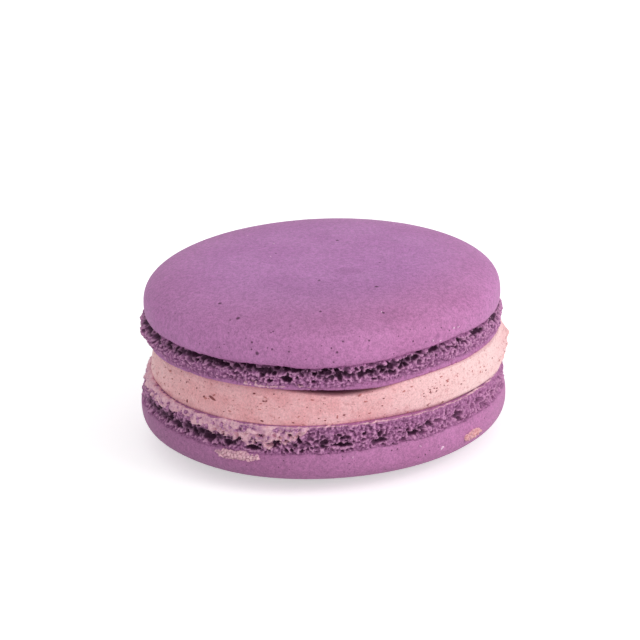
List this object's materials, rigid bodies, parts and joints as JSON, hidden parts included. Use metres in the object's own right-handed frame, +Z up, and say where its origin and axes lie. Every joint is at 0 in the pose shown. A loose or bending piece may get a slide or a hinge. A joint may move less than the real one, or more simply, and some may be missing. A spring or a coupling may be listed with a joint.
{
  "type": "french macaron",
  "caption": "Round almond meringue sandwich biscuit: smooth domed caps on rough ruffled feet, either side of a disc of buttercream.",
  "frame": {"origin": "on the table, under the middle of the macaron", "axes": "+Z up through both shells; the filling bulges most towards +X, and the side towards -Y is the pictured front"},
  "size_m": [0.0461, 0.0459, 0.0229],
  "materials": {
    "shell": "baked almond meringue, satin skin on the caps, rough open crumb on the feet",
    "filling": "soft buttercream with small dark fruit flecks"
  },
  "bodies": {
    "root": {"shell_upper": "shell", "shell_lower": "shell", "filling": "filling"}
  },
  "joints": []
}
